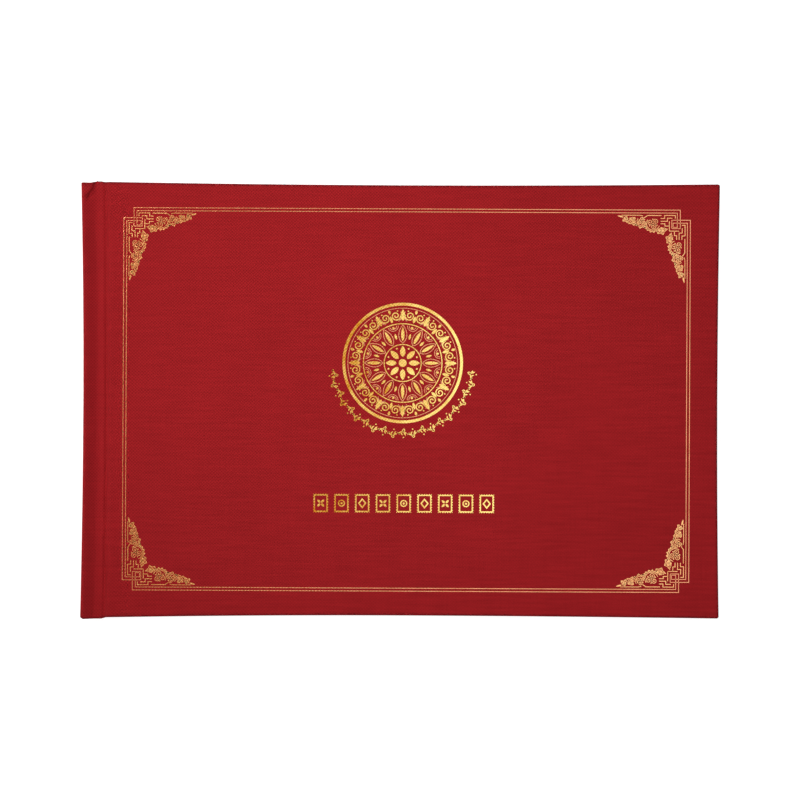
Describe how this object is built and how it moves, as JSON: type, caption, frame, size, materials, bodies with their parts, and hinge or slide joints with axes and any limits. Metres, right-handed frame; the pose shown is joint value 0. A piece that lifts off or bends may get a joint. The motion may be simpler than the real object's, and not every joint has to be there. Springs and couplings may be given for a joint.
{
  "type": "stamp album",
  "caption": "Landscape case-bound stamp album with cloth cover, gold foil frame and stiff pocket leaves on linen hinges.",
  "frame": {"origin": "middle of the closed album's underside, on the outer face of the back cover", "axes": "+X from the spine to the fore-edge, +Y from the tail to the head, +Z from the back cover up through the front cover"},
  "size_m": [0.226, 0.154, 0.0201],
  "materials": {
    "cover_cloth": "red book cloth, fine plain weave, slight sheen",
    "board": "solid grey binder's board, matte",
    "endpaper": "cream endpaper, matte",
    "spine_paper": "brown lining paper, matte",
    "end_band": "red and cream wound thread",
    "leaf_card": "black card, matte",
    "linen_hinge": "black linen tape, plain weave",
    "pocket_film": "clear polished film",
    "glassine": "translucent smooth paper",
    "foil": "hot-stamped gold foil, bright"
  },
  "bodies": {
    "back_cover": {"back_board": "board", "back_cloth": "cover_cloth", "back_endpaper": "endpaper"},
    "spine": {"spine_board": "board", "spine_cloth": "cover_cloth", "spine_lining": "spine_paper", "head_band": "end_band", "tail_band": "end_band"},
    "front_cover": {"front_board": "board", "front_cloth": "cover_cloth", "front_endpaper": "endpaper", "foil_frame": "foil", "foil_corners": "foil", "foil_medallion": "foil", "foil_garland": "foil", "foil_stamp_row": "foil"},
    "leaf_1_linen": {"leaf_1_hinge": "linen_hinge"},
    "leaf_1": {"leaf_1_card": "leaf_card", "leaf_1_pockets": "pocket_film"},
    "leaf_2_linen": {"leaf_2_hinge": "linen_hinge"},
    "leaf_2": {"leaf_2_card": "leaf_card", "leaf_2_pockets": "pocket_film", "leaf_2_interleaf": "glassine"},
    "leaf_3_linen": {"leaf_3_hinge": "linen_hinge"},
    "leaf_3": {"leaf_3_card": "leaf_card", "leaf_3_pockets": "pocket_film", "leaf_3_interleaf": "glassine"},
    "leaf_4_linen": {"leaf_4_hinge": "linen_hinge"},
    "leaf_4": {"leaf_4_card": "leaf_card", "leaf_4_pockets": "pocket_film", "leaf_4_interleaf": "glassine"},
    "leaf_5_linen": {"leaf_5_hinge": "linen_hinge"},
    "leaf_5": {"leaf_5_card": "leaf_card", "leaf_5_pockets": "pocket_film", "leaf_5_interleaf": "glassine"},
    "leaf_6_linen": {"leaf_6_hinge": "linen_hinge"},
    "leaf_6": {"leaf_6_card": "leaf_card", "leaf_6_pockets": "pocket_film", "leaf_6_interleaf": "glassine"},
    "leaf_7_linen": {"leaf_7_hinge": "linen_hinge"},
    "leaf_7": {"leaf_7_card": "leaf_card", "leaf_7_pockets": "pocket_film", "leaf_7_interleaf": "glassine"},
    "leaf_8_linen": {"leaf_8_hinge": "linen_hinge"},
    "leaf_8": {"leaf_8_card": "leaf_card", "leaf_8_pockets": "pocket_film", "leaf_8_interleaf": "glassine"}
  },
  "joints": [
    {"name": "album_open", "type": "hinge", "parent": "back_cover", "child": "spine", "pos_m": [-0.1115, 0, 0.0015], "axis": [0, -1, 0], "range_deg": [0, 90]},
    {"name": "front_cover_turn", "type": "hinge", "parent": "spine", "child": "front_cover", "pos_m": [-0.1115, 0, 0.0185], "axis": [0, -1, 0], "range_deg": [0, 90]},
    {"name": "leaf_1_root", "type": "hinge", "parent": "spine", "child": "leaf_1_linen", "pos_m": [-0.1103, 0, 0.01525], "axis": [0, -1, 0], "range_deg": [0, 78.17]},
    {"name": "leaf_1_fold", "type": "hinge", "parent": "leaf_1_linen", "child": "leaf_1", "pos_m": [-0.1003, 0, 0.01525], "axis": [0, -1, 0], "range_deg": [0, 11.83]},
    {"name": "leaf_2_root", "type": "hinge", "parent": "spine", "child": "leaf_2_linen", "pos_m": [-0.1103, 0, 0.01375], "axis": [0, -1, 0], "range_deg": [0, 69.21]},
    {"name": "leaf_2_fold", "type": "hinge", "parent": "leaf_2_linen", "child": "leaf_2", "pos_m": [-0.1003, 0, 0.01375], "axis": [0, -1, 0], "range_deg": [0, 20.79]},
    {"name": "leaf_3_root", "type": "hinge", "parent": "spine", "child": "leaf_3_linen", "pos_m": [-0.1103, 0, 0.01225], "axis": [0, -1, 0], "range_deg": [0, 59.67]},
    {"name": "leaf_3_fold", "type": "hinge", "parent": "leaf_3_linen", "child": "leaf_3", "pos_m": [-0.1003, 0, 0.01225], "axis": [0, -1, 0], "range_deg": [0, 30.33]},
    {"name": "leaf_4_root", "type": "hinge", "parent": "spine", "child": "leaf_4_linen", "pos_m": [-0.1103, 0, 0.01075], "axis": [0, -1, 0], "range_deg": [0, 49.08]},
    {"name": "leaf_4_fold", "type": "hinge", "parent": "leaf_4_linen", "child": "leaf_4", "pos_m": [-0.1003, 0, 0.01075], "axis": [0, -1, 0], "range_deg": [0, 40.92]},
    {"name": "leaf_5_root", "type": "hinge", "parent": "spine", "child": "leaf_5_linen", "pos_m": [-0.1103, 0, 0.00925], "axis": [0, -1, 0], "range_deg": [-49.08, 0]},
    {"name": "leaf_5_fold", "type": "hinge", "parent": "leaf_5_linen", "child": "leaf_5", "pos_m": [-0.1003, 0, 0.00925], "axis": [0, -1, 0], "range_deg": [-40.92, 0]},
    {"name": "leaf_6_root", "type": "hinge", "parent": "spine", "child": "leaf_6_linen", "pos_m": [-0.1103, 0, 0.00775], "axis": [0, -1, 0], "range_deg": [-59.67, 0]},
    {"name": "leaf_6_fold", "type": "hinge", "parent": "leaf_6_linen", "child": "leaf_6", "pos_m": [-0.1003, 0, 0.00775], "axis": [0, -1, 0], "range_deg": [-30.33, 0]},
    {"name": "leaf_7_root", "type": "hinge", "parent": "spine", "child": "leaf_7_linen", "pos_m": [-0.1103, 0, 0.00625], "axis": [0, -1, 0], "range_deg": [-69.21, 0]},
    {"name": "leaf_7_fold", "type": "hinge", "parent": "leaf_7_linen", "child": "leaf_7", "pos_m": [-0.1003, 0, 0.00625], "axis": [0, -1, 0], "range_deg": [-20.79, 0]},
    {"name": "leaf_8_root", "type": "hinge", "parent": "spine", "child": "leaf_8_linen", "pos_m": [-0.1103, 0, 0.00475], "axis": [0, -1, 0], "range_deg": [-78.17, 0]},
    {"name": "leaf_8_fold", "type": "hinge", "parent": "leaf_8_linen", "child": "leaf_8", "pos_m": [-0.1003, 0, 0.00475], "axis": [0, -1, 0], "range_deg": [-11.83, 0]}
  ],
  "couplings": [
    {"joint": "front_cover_turn", "follows": "album_open", "ratio": 1},
    {"joint": "leaf_1_root", "follows": "album_open", "ratio": 0.86856},
    {"joint": "leaf_1_fold", "follows": "album_open", "ratio": 0.13144},
    {"joint": "leaf_2_root", "follows": "album_open", "ratio": 0.76896},
    {"joint": "leaf_2_fold", "follows": "album_open", "ratio": 0.23104},
    {"joint": "leaf_3_root", "follows": "album_open", "ratio": 0.66298},
    {"joint": "leaf_3_fold", "follows": "album_open", "ratio": 0.33702},
    {"joint": "leaf_4_root", "follows": "album_open", "ratio": 0.54534},
    {"joint": "leaf_4_fold", "follows": "album_open", "ratio": 0.45466},
    {"joint": "leaf_5_root", "follows": "album_open", "ratio": -0.54534},
    {"joint": "leaf_5_fold", "follows": "album_open", "ratio": -0.45466},
    {"joint": "leaf_6_root", "follows": "album_open", "ratio": -0.66298},
    {"joint": "leaf_6_fold", "follows": "album_open", "ratio": -0.33702},
    {"joint": "leaf_7_root", "follows": "album_open", "ratio": -0.76896},
    {"joint": "leaf_7_fold", "follows": "album_open", "ratio": -0.23104},
    {"joint": "leaf_8_root", "follows": "album_open", "ratio": -0.86856},
    {"joint": "leaf_8_fold", "follows": "album_open", "ratio": -0.13144}
  ]
}
